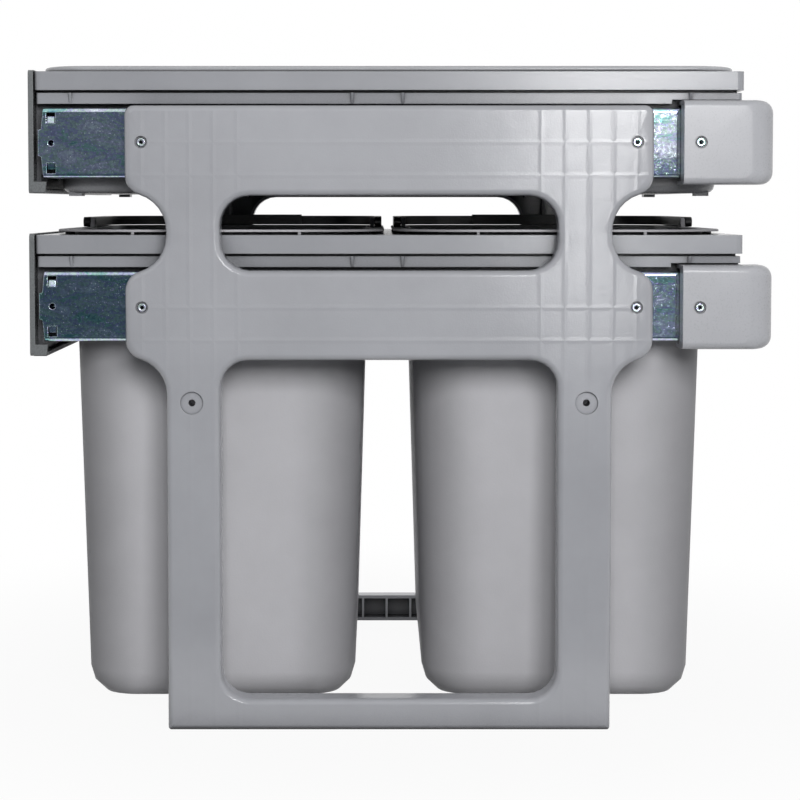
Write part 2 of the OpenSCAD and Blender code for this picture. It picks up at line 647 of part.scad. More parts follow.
// Screws from the carriage's inside into the inner slide members
module rail_screws(tier) color(ZINC) translate([0, 0, slide_height(tier)]) on_both_sides()
    for (y = rail_screw_y) translate([x_cell, y, 0])
        pan_screw(screw_head, screw_d, carriage_wall + sheet_t + 1.5);

// The plate that takes the door, with a foot folded back under the slides and closed at its ends
foot_depth = 7.2;
foot_h = 7.6;
module front_plate(tier) color(PLASTIC) translate([0, 0, slide_height(tier)]) difference() {
    union() {
        along_y(y_front, y_plate) translate([0, (plate_above - plate_below) / 2])
            polygon(round_rect([plate_x, (plate_above + plate_below) / 2], 3));
        on_both_sides() along_x(plate_x - skirt_t, plate_x) polygon([[y_plate - 1, foot_h - plate_below],
            [y_plate + foot_depth + 1, foot_h - plate_below], [y_plate + foot_depth, 0.5 - plate_below],
            [y_plate - 1, 0.5 - plate_below]]);
        along_x(-plate_x + 1, plate_x - 1) polygon([[y_plate - 1, -plate_below],
            [y_plate + foot_depth, -plate_below], [y_plate + foot_depth, skirt_t - plate_below],
            [y_plate - 1, skirt_t - plate_below]]);
    }
    for (x = [-1, 1], z = [-1, 1]) translate([x * door_pitch_x / 2, 0, z * door_pitch_z / 2])
        rod_y(y_front - 1, y_plate + 1, door_hole_d);
    for (p = plate_screw_places) translate([p.x, 0, p.y])
        rod_y(y_front + 0.8, y_plate + 1, plate_screw_d + 0.2);
}

module plate_screws(tier) color(ZINC) translate([0, 0, slide_height(tier)])
    for (p = plate_screw_places) translate([p.x, y_plate + carriage_wall, p.y]) rotate([0, 0, -90])
        pan_screw(plate_screw_head, plate_screw_d, carriage_wall + plate_t - 1);

// A closed skin through rings of points, each ring turning left as seen from the next
module skin(rings) {
    n = len(rings[0]);
    points = [for (ring = rings, p = ring) p];
    walls = [for (k = [0:len(rings) - 2], i = [0:n - 1])
        [k * n + i, (k + 1) * n + i, (k + 1) * n + (i + 1) % n, k * n + (i + 1) % n]];
    first = [for (i = [0:n - 1]) i];
    last = (len(rings) - 1) * n;
    polyhedron(points, concat(walls, [first, [for (i = first) last + n - 1 - i]]));
}
// The same through level rounded rectangles, each given by half sizes, corner radius and height
module loft(rings) skin([for (ring = rings) [for (p = round_rect(ring[0], ring[1])) [p.x, p.y, ring[2]]]]);
// Rings of a tapered tub from its base up to height top: h and r hold at the top, d is an inset all round
function tub(h, r, draft, base_r, base, top, d) = let (
    inset = function (z) d + (top - z) * tan(draft),
    ring = function (z, more) [h - [1, 1] * (inset(z) + more), r - inset(z) - more, z]
) concat(
    [for (a = [0:30:90]) ring(base + base_r * (1 - cos(a)), base_r * (1 - sin(a)))],
    [ring(top, 0)]);

// A bin: tapered tub, flat rim on short ribs, and a lug at each end for its handle's pin
module bin(s) color(BIN_PLASTIC) translate([0, cell_mid + s * bin_y, 0]) {
    inside_base_r = bin_base_r - bin_wall;
    union() {
        loft(concat(
            tub(bin_half, bin_corner_r, bin_draft, bin_base_r, bin_floor_gap, bin_top - rim_t, 0),
            [[bin_half + [rim_side, rim_end], bin_corner_r + rim_side, bin_top - rim_t],
                [bin_half + [rim_side, rim_end], bin_corner_r + rim_side, bin_top - 0.4],
                [bin_half + [rim_side, rim_end] - [0.5, 0.5], bin_corner_r + rim_side - 0.5, bin_top]],
            reversed(tub(bin_half, bin_corner_r, bin_draft, inside_base_r, bin_floor_gap + bin_wall,
                bin_top, bin_wall))));
        for (e = [-1, 1], k = [-1, 0, 1]) {
            translate([k * bin_half.x * 0.55 - 1, e * (bin_half.y + rim_end / 2 + 1) - 4,
                bin_top - rim_t - rim_lift]) cube([2, 8, rim_lift + 0.5]);
            translate([e * (bin_half.x + rim_side / 2 + 0.8) - 3.5, k * bin_half.y * 0.55 - 1,
                bin_top - rim_t - rim_lift]) cube([7, 2, rim_lift + 0.5]);
        }
        for (e = [-1, 1]) bin_lug(e);
    }
}

module bin_lug(e) {
    y = e * (bin_half.y + lug_in + lug_t / 2);
    top_r = eye_d / 2;
    difference() {
        along_y(y - lug_t / 2, y + lug_t / 2) polygon(concat(
            [[-top_r - 3, bin_top - 0.5]], [[top_r + 3, bin_top - 0.5]], arc([0, pivot_z], top_r, 0, 180)));
        translate([0, 0, pivot_z]) rod_y(y - lug_t, y + lug_t, pin_d + 2 * pin_play);
    }
}

// A black bail lying on the rim's left side, pinned in the lugs at the ends of its arms
module bin_handle(s) color(BLACK) translate([0, cell_mid + s * bin_y, 0]) {
    outer = [bow_x + bow_w / 2, arm_y + bow_w / 2];
    bow = function (d) concat([[0, outer.y - d]],
        arc([bow_r - outer.x, outer.y - bow_r], bow_r - d, 90, 180),
        arc([bow_r - outer.x, bow_r - outer.y], bow_r - d, 180, 270), [[0, d - outer.y]]);
    bow_z = pivot_z - eye_d / 2;
    translate([0, 0, bow_z]) linear_extrude(bow_t) polygon(concat(bow(0), reversed(bow(bow_w))));
    translate([-bow_x - grip[1] / 2 + 0.5, -grip[0] / 2, bow_z]) cube([grip[1], grip[0], bow_t + grip[2]]);
    for (e = [0, 1]) mirror([0, e, 0]) translate([0, 0, pivot_z]) {
        rod_y(arm_y - bow_w / 2, arm_y + bow_w / 2, eye_d);
        rod_y(arm_y - bow_w / 2 - lug_t, arm_y, pin_d);
    }
}

// The tray: a shallow tub with a rolled rim that sits on the upper carriage's deck
module upper_tray() color(PLASTIC) translate([0, cell_mid, 0]) {
    roll_r = tray_rim_h / 2;
    rim_half = tray_half + [rim_side, rim_side];
    union() {
        loft(concat(
            tub(tray_half, tray_corner_r, tray_draft, tray_base_r, tray_floor_z, tray_rim_z, 0),
            [for (a = [-90:30:90]) [rim_half - [1, 1] * roll_r * (1 - cos(a)),
                tray_corner_r + rim_side - roll_r * (1 - cos(a)), tray_rim_z + roll_r * (1 + sin(a))]],
            reversed(tub(tray_half, tray_corner_r, tray_draft, tray_base_r - tray_wall,
                tray_floor_z + tray_wall, tray_rim_z + tray_rim_h, tray_wall))));
        for (x = [-1, 1], y = [-1, 1])
            translate([x * (tray_half.x - tray_foot_in.x) - tray_foot.x / 2,
                y * (tray_half.y - tray_foot_in.y) - tray_foot.y / 2, tray_floor_z - tray_foot_h])
                cube([tray_foot.x, tray_foot.y, tray_foot_h + 1]);
    }
}

for (s = SIDES) side_frame(s);
frame_rivets();
cap_rivets();
stop_buffers();
for (t = TIERS, s = SIDES) {
    outer_rail(t, s);
    middle_rail(t, s);
    inner_rail(t, s);
    outer_cage(t, s);
    inner_cage(t, s);
    end_cap(t, s);
}
for (t = TIERS) {
    outer_balls(t);
    inner_balls(t);
    carriage(t);
    rail_screws(t);
    front_plate(t);
    plate_screws(t);
}
bin(-1);  // front_bin
bin(1);  // rear_bin
bin_handle(-1);  // front_bin_handle
bin_handle(1);  // rear_bin_handle
upper_tray();
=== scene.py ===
import math

import bpy
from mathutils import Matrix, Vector


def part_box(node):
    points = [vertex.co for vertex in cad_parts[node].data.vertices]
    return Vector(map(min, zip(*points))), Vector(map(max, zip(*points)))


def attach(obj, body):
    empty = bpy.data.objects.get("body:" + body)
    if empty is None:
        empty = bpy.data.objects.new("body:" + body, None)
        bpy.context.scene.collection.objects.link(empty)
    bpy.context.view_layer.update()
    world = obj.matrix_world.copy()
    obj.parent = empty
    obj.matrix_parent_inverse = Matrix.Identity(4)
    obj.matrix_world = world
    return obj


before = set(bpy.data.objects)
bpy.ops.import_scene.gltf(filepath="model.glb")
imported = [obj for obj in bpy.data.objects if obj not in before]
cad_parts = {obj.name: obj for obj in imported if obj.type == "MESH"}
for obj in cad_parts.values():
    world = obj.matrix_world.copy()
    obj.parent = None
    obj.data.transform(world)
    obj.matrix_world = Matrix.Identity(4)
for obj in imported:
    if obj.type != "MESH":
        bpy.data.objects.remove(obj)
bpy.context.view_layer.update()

# Side frames.
# Two mirrored ladder-shaped mouldings in grey polypropylene, hollow and ribbed at the back.
# They stand on the cabinet floor, and the ribs read through the outer face as faint sink lines.
SIDES = ("right", "left")
TIERS = ("lower", "upper")
FRAME_GREY = (0.372, 0.378, 0.405)
RIVET_OFFSET = 0.160
RIB_PITCH = 0.0155
UPRIGHT_RIBS_FROM = 0.091
ROW_RIB_DROPS = (0.0, 0.0213)
SINK_HALF_WIDTH = 0.0022
SINK_SOFTNESS = 0.3
SINK_DEPTH = 0.0005
RIPPLE_SHARE = 1.2


def box_middle(name):
    """The middle of a CAD node's box at rest."""
    low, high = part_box(name)
    return (low + high) / 2


FRAME_MIDDLE_Y = box_middle("right_side_frame").y
SLIDE_HEIGHTS = {tier: box_middle(f"{tier}_right_outer_rail").z for tier in TIERS}


def add_node(tree, kind, inputs=None, **settings):
    """A new shader or geometry node; inputs are values, or outputs of other nodes to link."""
    made = tree.nodes.new(kind)
    for key, value in settings.items():
        setattr(made, key, value)
    for key, value in (inputs or {}).items():
        if isinstance(value, bpy.types.NodeSocket):
            tree.links.new(value, made.inputs[key])
        else:
            made.inputs[key].default_value = value
    return made


def calculate(tree, operation, first, second=0.0, third=0.0):
    """The output of a maths node."""
    return add_node(tree, "ShaderNodeMath", {0: first, 1: second, 2: third}, operation=operation).outputs[0]


def remap(tree, value, taken, given, **settings):
    """The value, with the range taken stretched to the range given."""
    return add_node(tree, "ShaderNodeMapRange", {
        "Value": value, "From Min": taken[0], "From Max": taken[1],
        "To Min": given[0], "To Max": given[1]}, **settings).outputs[0]


WELD_DISTANCE = 2e-6
TRUE_EDGE = math.radians(33)
LARGE_FACE_WEIGHT = 90


def rounded_shading():
    """Geometry nodes that weld a CAD mesh and shade it smooth, but for its true edges."""
    group = bpy.data.node_groups.new("rounded_shading", "GeometryNodeTree")
    for way in ("INPUT", "OUTPUT"):
        group.interface.new_socket("Geometry", in_out=way, socket_type="NodeSocketGeometry")
    came = group.nodes.new("NodeGroupInput").outputs[0]
    plain = add_node(group, "GeometryNodeRemoveAttribute", {"Geometry": came, "Name": "custom_normal"})
    welded = add_node(group, "GeometryNodeMergeByDistance",
                      {"Geometry": plain.outputs[0], "Distance": WELD_DISTANCE})
    smooth = add_node(group, "GeometryNodeSetShadeSmooth",
                      {"Geometry": welded.outputs[0], "Shade Smooth": True})
    angle = group.nodes.new("GeometryNodeInputMeshEdgeAngle").outputs[0]
    sharp = calculate(group, "GREATER_THAN", angle, TRUE_EDGE)
    kept = add_node(group, "GeometryNodeSetShadeSmooth", {
        "Geometry": smooth.outputs[0], "Selection": sharp, "Shade Smooth": False}, domain="EDGE")
    group.links.new(kept.outputs[0], group.nodes.new("NodeGroupOutput").inputs[0])
    return group


SHADING = rounded_shading()


def finish_node(name, material):
    """Gives a CAD node its material and its shading."""
    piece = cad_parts[name]
    piece.data.materials.clear()
    piece.data.materials.append(material)
    piece.modifiers.new("rounded_shading", "NODES").node_group = SHADING
    even = piece.modifiers.new("even_shading", "WEIGHTED_NORMAL")
    even.keep_sharp = True
    even.weight = LARGE_FACE_WEIGHT


def new_material(name):
    """A new material and its node tree."""
    material = bpy.data.materials.new(name)
    material.use_nodes = True
    return material, material.node_tree


def place_on_piece(tree):
    """The place on the piece at rest, in metres."""
    return add_node(tree, "ShaderNodeTexCoord").outputs["Object"]


OPEN_AIR = (0.12, 0.72)
PAINTED_SHADE_TONES = (0.10, 1.0)


def painted_crevice_shade(tree, colour, reach):
    """The colour with painted shade, darker in holes, slots and corners within the reach, and how open the
    spot is.
    """
    # Painted shade: ambient occlusion darkens the colour, and later the highlights, where light would hardly
    # reach.
    air = add_node(tree, "ShaderNodeAmbientOcclusion", {"Distance": reach}, samples=6).outputs["AO"]
    painted_shade_factor = remap(tree, air, OPEN_AIR, PAINTED_SHADE_TONES)
    darker = add_node(tree, "ShaderNodeHueSaturation", {"Color": colour, "Value": painted_shade_factor})
    return darker.outputs[0], painted_shade_factor


# Each tone's place in the cloud, and its share of the colour.
CLOUD_TONES = ((0.30, 0.93), (0.70, 1.06))
SPARK_RANGE = (0.3, 0.7)
SPARK_DEPTH = 0.0004
MOULD_EDGE = 0.0007


def moulded_plastic(name, colour, sheen, grain=0.10, reach=0.005, gloss=0.45):
    """Moulded plastic: clouded colour, painted shade in holes and corners, fine spark grain, and edges
    rounded as a mould's are.
    """
    material, tree = new_material(name)
    shader = tree.nodes["Principled BSDF"]
    place = place_on_piece(tree)
    cloud = add_node(tree, "ShaderNodeTexNoise",
                     {"Vector": place, "Scale": 11.0, "Detail": 5.0, "Roughness": 0.6})
    ramp = add_node(tree, "ShaderNodeValToRGB", {"Fac": cloud.outputs[0]})
    for element, (position, tone) in zip(ramp.color_ramp.elements, CLOUD_TONES):
        element.position = position
        element.color = [min(1, part * tone) for part in colour] + [1]
    # Painted shade in holes, slots and corners within the reach; the same share also dims the highlights
    # there.
    tint, painted_shade_factor = painted_crevice_shade(tree, ramp.outputs[0], reach)
    tree.links.new(tint, shader.inputs["Base Color"])
    tree.links.new(calculate(tree, "MULTIPLY", painted_shade_factor, gloss), shader.inputs["Specular IOR Level"])
    spark = add_node(tree, "ShaderNodeTexNoise", {"Vector": place, "Scale": 900.0, "Detail": 2.0}).outputs[0]
    tree.links.new(remap(tree, spark, SPARK_RANGE, sheen), shader.inputs["Roughness"])
    round_edge = add_node(tree, "ShaderNodeBevel", {"Radius": MOULD_EDGE}, samples=4)
    bump = add_node(tree, "ShaderNodeBump", {
        "Height": spark, "Strength": grain, "Distance": SPARK_DEPTH, "Normal": round_edge.outputs[0]})
    tree.links.new(bump.outputs[0], shader.inputs["Normal"])
    return material


def distance_from(tree, value, middle):
    """How far the value is from the middle, on either side."""
    return calculate(tree, "ABSOLUTE", calculate(tree, "SUBTRACT", value, middle))


def sink_mark(tree, distance):
    """1 over a rib's middle line, falling smoothly to 0 beside it."""
    share = calculate(tree, "MULTIPLY", distance, 1 / SINK_HALF_WIDTH)
    return calculate(tree, "SUBTRACT", 1.0, calculate(tree, "SMOOTH_MIN", share, 1.0, SINK_SOFTNESS))


def add_sink_lines(material):
    """Faint dips over the ribs: uprights in step with the rivets, and rows along the two bars."""
    tree = material.node_tree
    shader = tree.nodes["Principled BSDF"]
    place = place_on_piece(tree)
    axes = add_node(tree, "ShaderNodeSeparateXYZ", {"Vector": place}).outputs
    along = distance_from(tree, axes["Y"], FRAME_MIDDLE_Y)
    from_rib = calculate(tree, "PINGPONG", calculate(tree, "SUBTRACT", along, RIVET_OFFSET), RIB_PITCH / 2)
    ribbed = calculate(tree, "GREATER_THAN", along, UPRIGHT_RIBS_FROM)
    lines = calculate(tree, "MULTIPLY", sink_mark(tree, from_rib), ribbed)
    for height in SLIDE_HEIGHTS.values():
        for drop in ROW_RIB_DROPS:
            row = sink_mark(tree, distance_from(tree, axes["Z"], height - drop))
            lines = calculate(tree, "MAXIMUM", row, lines)
    ripple = add_node(tree, "ShaderNodeTexNoise", {"Vector": place, "Scale": 38.0, "Detail": 2.0})
    uneven = calculate(tree, "MULTIPLY_ADD", ripple.outputs[0], RIPPLE_SHARE, lines)
    dip = add_node(tree, "ShaderNodeBump", {
        "Height": uneven, "Strength": 0.17, "Distance": SINK_DEPTH,
        "Normal": shader.inputs["Normal"].links[0].from_socket})
    tree.links.new(dip.outputs[0], shader.inputs["Normal"])


frame_plastic = moulded_plastic("frame_plastic", FRAME_GREY, sheen=(0.14, 0.19), reach=0.03)
add_sink_lines(frame_plastic)
for side in SIDES:
    finish_node(f"{side}_side_frame", frame_plastic)

# End caps.
# Four caps moulded in grey plastic and slipped over the slides' rear ends.
# Each is held by one tubular rivet.
CAP_GREY = (0.40, 0.405, 0.43)
cap_plastic = moulded_plastic("cap_plastic", CAP_GREY, sheen=(0.26, 0.32), grain=0.04)
for tier in TIERS:
    for side in SIDES:
        finish_node(f"{tier}_{side}_end_cap", cap_plastic)

# Cap fronts.
# The thin web that closes each cap's front end, from the outer wall in to the slide.
# It is part of the cap's own moulding, with rounded corners at the outer wall.
WEB_SLIDE_GAP = 0.0004
WEB_WALL_INSET = 0.002
WEB_CORNER = 0.0026
WEB_ARC_STEP = 15
# Each ring of the web's corners: how far it is drawn in, and how far behind the cap's front it lies.
WEB_INSETS_AND_DEPTHS = ((0.0006, 0.0002), (0.0, 0.0007), (0.0, 0.0018))
cap_box_low, cap_box_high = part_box("lower_right_end_cap")
CAP_FRONT_Y = cap_box_low.y
WEB_INNER_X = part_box("lower_right_outer_rail")[1].x + WEB_SLIDE_GAP
WEB_OUTER_X = cap_box_high.x - WEB_WALL_INSET
WEB_HALF_HEIGHT = (cap_box_high.z - cap_box_low.z) / 2 - WEB_WALL_INSET


def web_outline(inset):
    """Corners of the web in X and Z: round at the outer wall, square at the slide."""
    low = WEB_INNER_X + inset
    high = WEB_OUTER_X - inset
    half = WEB_HALF_HEIGHT - inset
    radius = WEB_CORNER - inset
    points = [(low, -half)]
    for start, rise in ((-90, -1), (0, 1)):
        for turn in range(0, 91, WEB_ARC_STEP):
            angle = math.radians(start + turn)
            points.append((high - radius + radius * math.cos(angle),
                           rise * (half - radius) + radius * math.sin(angle)))
    return points + [(low, half)]


def web_faces(count, rings):
    """Faces of a closed web: its front, its back, and the strips between its rings of corners."""
    front = tuple(range(count))
    back = tuple(reversed(range((rings - 1) * count, rings * count)))
    strips = []
    for first in range(0, (rings - 1) * count, count):
        for corner in range(count):
            after = (corner + 1) % count
            strips.append((first + corner, first + count + corner, first + count + after, first + after))
    return [front, back] + strips


def add_mesh(name, corners, faces, material):
    """A new mesh object in the scene."""
    mesh = bpy.data.meshes.new(name)
    mesh.from_pydata(corners, [], faces)
    mesh.materials.append(material)
    made = bpy.data.objects.new(name, mesh)
    bpy.context.scene.collection.objects.link(made)
    return made


for tier in TIERS:
    for side, outward in zip(SIDES, (1, -1)):
        corners = [(outward * x, CAP_FRONT_Y + depth, SLIDE_HEIGHTS[tier] + z)
                   for inset, depth in WEB_INSETS_AND_DEPTHS for x, z in web_outline(inset)]
        faces = web_faces(len(web_outline(0)), len(WEB_INSETS_AND_DEPTHS))
        faces = [face[::outward] for face in faces]
        web = add_mesh(f"{tier}_{side}_cap_front", corners, faces, cap_plastic)
        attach(web, "base")

# Slide members.
# Roll-formed steel with bright zinc plating: rolling marks along the length, a cool film that
# shifts in tint, and small bright scuffs. The outer ones are riveted to the frames.
SLIDE_STEEL = (0.60, 0.64, 0.67)
# Each tint's place in the film, and its share of the steel's red, green and blue.
FILM_TINTS = ((0.36, (0.42, 0.62, 0.68)), (0.43, (0.72, 0.92, 0.80)), (0.475, (0.84, 0.76, 1.06)),
              (0.52, (0.84, 0.98, 0.84)), (0.57, (0.98, 0.92, 1.10)), (0.64, (1.24, 1.26, 1.26)))
FILM_STRETCH = (60, 32, 84)
FILM_SATURATION = 1.4
MOTTLE_RANGE = (0.32, 0.68)
MOTTLE_TONES = (0.78, 1.22)
ROLLING_STRETCH = (2600, 60, 2600)
ROLLING_RANGE = (0.25, 0.75)
PIT_RANGE = (0.71, 0.80)
PIT_DEPTHS = (0.0, 2.0)
SCUFF_DEPTH = 0.0003
SLOT_SHADE_REACH = 0.010
STEEL_EDGE = 0.0008


def stretched_noise(tree, place, stretch, **settings):
    """Noise that changes faster along some axes than others."""
    stretched = add_node(tree, "ShaderNodeMapping", {"Vector": place, "Scale": stretch})
    return add_node(tree, "ShaderNodeTexNoise",
                    {"Vector": stretched.outputs[0], "Scale": 1.0, **settings}).outputs[0]


def zinc_plate(name, steel, sheen):
    """Zinc plated steel: a tinted film with a fine mottle, painted shade in slots and holes, rolling marks,
    scuffs and pits.
    """
    material, tree = new_material(name)
    shader = tree.nodes["Principled BSDF"]
    place = place_on_piece(tree)
    film = stretched_noise(tree, place, FILM_STRETCH, Detail=7.0, Roughness=0.74, Distortion=0.5)
    ramp = add_node(tree, "ShaderNodeValToRGB", {"Fac": film})
    elements = ramp.color_ramp.elements
    while len(elements) < len(FILM_TINTS):
        elements.new(0.5)
    for element, (position, tint) in zip(elements, FILM_TINTS):
        element.position = position
        element.color = [share * part for share, part in zip(tint, steel)] + [1]
    mottle = add_node(tree, "ShaderNodeTexNoise",
                      {"Vector": place, "Scale": 520.0, "Detail": 3.0, "Roughness": 0.7})
    mottled = add_node(tree, "ShaderNodeHueSaturation", {
        "Color": ramp.outputs[0], "Saturation": FILM_SATURATION,
        "Value": remap(tree, mottle.outputs[0], MOTTLE_RANGE, MOTTLE_TONES)})
    # The film takes painted shade in the slots, holes and corners.
    tree.links.new(painted_crevice_shade(tree, mottled.outputs[0], SLOT_SHADE_REACH)[0], shader.inputs["Base Color"])
    shader.inputs["Metallic"].default_value = 1.0
    marks = stretched_noise(tree, place, ROLLING_STRETCH, Detail=4.0)
    tree.links.new(remap(tree, marks, ROLLING_RANGE, sheen), shader.inputs["Roughness"])
    scuffs = add_node(tree, "ShaderNodeTexNoise", {"Vector": place, "Scale": 330.0, "Detail": 3.0})
    pits = add_node(tree, "ShaderNodeTexNoise", {"Vector": place, "Scale": 850.0, "Detail": 1.0})
    pitted = calculate(tree, "SUBTRACT", scuffs.outputs[0],
                       remap(tree, pits.outputs[0], PIT_RANGE, PIT_DEPTHS))
    round_edge = add_node(tree, "ShaderNodeBevel", {"Radius": STEEL_EDGE}, samples=4)
    bump = add_node(tree, "ShaderNodeBump", {
        "Height": pitted, "Strength": 0.12, "Distance": SCUFF_DEPTH, "Normal": round_edge.outputs[0]})
    tree.links.new(bump.outputs[0], shader.inputs["Normal"])
    return material


slide_zinc = zinc_plate("slide_zinc", SLIDE_STEEL, sheen=(0.04, 0.06))
for tier in TIERS:
    for side in SIDES:
        for member in ("outer_rail", "middle_rail", "inner_rail"):
            finish_node(f"{tier}_{side}_{member}", slide_zinc)

# Rivets, screws and balls.
# Tubular steel rivets through frames and caps, pan head screws, and hardened bearing balls.
# All are bright steel, paler and more satin than the slides.
FIXING_STEEL = (0.84, 0.85, 0.86)
fixing_zinc = zinc_plate("fixing_zinc", FIXING_STEEL, sheen=(0.20, 0.32))
for name in ("frame_rivets", "cap_rivets"):
    finish_node(name, fixing_zinc)
for tier in TIERS:
    for name in ("outer_balls", "inner_balls", "rail_screws", "plate_screws"):
        finish_node(f"{tier}_{name}", fixing_zinc)

# Ball cages and stops.
# Black moulded combs that space the balls in their tracks, and black rubber blocks that sit
# on the caps' spigots.
MOULDED_BLACK = (0.012, 0.012, 0.013)
RUBBER_BLACK = (0.010, 0.010, 0.010)
cage_black = moulded_plastic("cage_black", MOULDED_BLACK, sheen=(0.35, 0.5))
stop_rubber = moulded_plastic("stop_rubber", RUBBER_BLACK, sheen=(0.6, 0.8), grain=0.3)
for tier in TIERS:
    for side in SIDES:
        for name in ("outer_cage", "inner_cage"):
            finish_node(f"{tier}_{side}_{name}", cage_black)
finish_node("stop_buffers", stop_rubber)

# Carriages and front plates.
# Grey mouldings: each carriage is a deck with a stepped skirt, screwed to the inner members, and
# carries a darker plate for the cabinet door.
CARRIAGE_GREY = (0.315, 0.322, 0.345)
PLATE_GREY = (0.165, 0.174, 0.178)
carriage_plastic = moulded_plastic("carriage_plastic", CARRIAGE_GREY,
                                   sheen=(0.17, 0.24), grain=0.06, reach=0.02)
plate_plastic = moulded_plastic("plate_plastic", PLATE_GREY,
                                sheen=(0.24, 0.32), grain=0.06, reach=0.04)
for tier in TIERS:
    finish_node(f"{tier}_carriage", carriage_plastic)
    finish_node(f"{tier}_front_plate", plate_plastic)

# Bins.
# Two tapered grey tubs hung by their rims in the lower carriage, with a satin spark finish.
# The upright corners take painted shade, darker where the walls turn away from the light.
BIN_GREY = (0.50, 0.497, 0.52)
BIN_BASE_Z = 0.028
BIN_BASE_HALF = {"X": 0.13717, "Y": 0.0912}
BIN_DRAFT = math.tan(math.radians(1.7))
CORNER_SHADE_RANGE = (0.47, 0.97)
PAINTED_CORNER_SHADE_TONES = (1.0, 0.56)
front_bin_y = box_middle("front_bin").y
rear_bin_y = box_middle("rear_bin").y
BINS_MIDDLE_Y = (front_bin_y + rear_bin_y) / 2
BIN_OFFSET_Y = (rear_bin_y - front_bin_y) / 2


def paint_corner_shade(material):
    """Paints shade into a bin's tint toward its four upright corners."""
    tree = material.node_tree
    shader = tree.nodes["Principled BSDF"]
    axes = add_node(tree, "ShaderNodeSeparateXYZ", {"Vector": place_on_piece(tree)}).outputs
    spread = calculate(tree, "MULTIPLY", calculate(tree, "SUBTRACT", axes["Z"], BIN_BASE_Z), BIN_DRAFT)
    from_middle = {
        "X": calculate(tree, "ABSOLUTE", axes["X"]),
        "Y": distance_from(tree, distance_from(tree, axes["Y"], BINS_MIDDLE_Y), BIN_OFFSET_Y)}
    cornered = 1.0
    for axis, half in BIN_BASE_HALF.items():
        share = calculate(tree, "DIVIDE", from_middle[axis], calculate(tree, "ADD", spread, half))
        cornered = calculate(tree, "MULTIPLY", share, cornered)
    # Painted shade: the colour darkens toward the upright corners, where light falls off round the turn.
    tone = remap(tree, cornered, CORNER_SHADE_RANGE, PAINTED_CORNER_SHADE_TONES, interpolation_type="SMOOTHSTEP")
    corner_shaded = add_node(tree, "ShaderNodeHueSaturation", {
        "Color": shader.inputs["Base Color"].links[0].from_socket, "Value": tone})
    tree.links.new(corner_shaded.outputs[0], shader.inputs["Base Color"])


bin_plastic = moulded_plastic("bin_plastic", BIN_GREY, sheen=(0.42, 0.55), grain=0.16, gloss=0.08)
paint_corner_shade(bin_plastic)
for name in ("front_bin", "rear_bin"):
    finish_node(name, bin_plastic)

# Bin handles.
# Bails moulded in black plastic, one to a bin.
# They are pinned in lugs at the bins' ends and lie folded down on the rims.
handle_black = moulded_plastic("handle_black", MOULDED_BLACK, sheen=(0.3, 0.42))
for name in ("front_bin_handle", "rear_bin_handle"):
    finish_node(name, handle_black)

# Tray.
# A shallow grey tub, moulded in one piece.
# Its rolled rim lies on the upper carriage, so it lifts straight out.
TRAY_GREY = (0.43, 0.436, 0.455)
# Its painted shade in corners and under ledges reaches farther than on the other mouldings, so the underside
# reads dark.
tray_plastic = moulded_plastic("tray_plastic", TRAY_GREY, sheen=(0.22, 0.30), reach=0.06)
finish_node("upper_tray", tray_plastic)

# Floor.
# A plain pale floor just under the frames' feet. It reads white to the camera and in
# reflections, and keeps a soft shadow round the unit.
FLOOR_HALF = 30
FLOOR_Z = -0.0004
FLOOR_CORNERS = ((-1, -1), (1, -1), (1, 1), (-1, 1))
FLOOR_GREY = (0.36, 0.36, 0.36, 1)
WHITE = (1, 1, 1, 1)
SHADOW_REACH = (0.2, 0.6)
SHADOW_PALENESS = (0.94, 1.0)


def seen_directly(tree):
    """1 for what the camera sees, straight or in a reflection, and 0 for light that falls on things."""
    ray = add_node(tree, "ShaderNodeLightPath").outputs
    seen = calculate(tree, "MAXIMUM", ray["Is Camera Ray"], ray["Is Transmission Ray"])
    return calculate(tree, "MAXIMUM", seen, ray["Is Glossy Ray"])


floor_paint, tree = new_material("floor_paint")
tree.nodes.remove(tree.nodes["Principled BSDF"])
matt = add_node(tree, "ShaderNodeBsdfDiffuse", {"Color": FLOOR_GREY})
white = add_node(tree, "ShaderNodeEmission", {"Color": WHITE})
away = add_node(tree, "ShaderNodeVectorMath", {0: place_on_piece(tree)}, operation="LENGTH")
fade = remap(tree, away.outputs["Value"], SHADOW_REACH, SHADOW_PALENESS, interpolation_type="SMOOTHSTEP")
paleness = calculate(tree, "MULTIPLY", seen_directly(tree), fade)
mixed = add_node(tree, "ShaderNodeMixShader", {0: paleness, 1: matt.outputs[0], 2: white.outputs[0]})
tree.links.new(mixed.outputs[0], tree.nodes["Material Output"].inputs[0])
floor_corners = [(x * FLOOR_HALF, y * FLOOR_HALF, FLOOR_Z) for x, y in FLOOR_CORNERS]
floor = add_mesh("floor", floor_corners, [(0, 1, 2, 3)], floor_paint)

# Studio light.
# White surroundings that give little light, three narrow key boxes that show only as glints on
# the near side, and six wide fill boxes round the unit that give the light but no glint.
SKY_TINT = (0.93, 0.96, 1.0, 1)
SKY_STRENGTH = 0.06
KEY_X = 1.55
# Each key box's name, place in Y and Z, width and height, and power in watts.
KEY_BOXES = (("key_high", (0.264, 0.675), (0.13, 0.55), 4.0),
             ("key_side", (0.390, 0.725), (0.17, 0.45), 4.2),
             ("key_low", (0.262, 0.285), (0.11, 0.22), 0.9))
FILL_SIZE = (0.5, 0.8)
FILL_AIM_X = 0.18
FILL_AIM_Z = 0.25
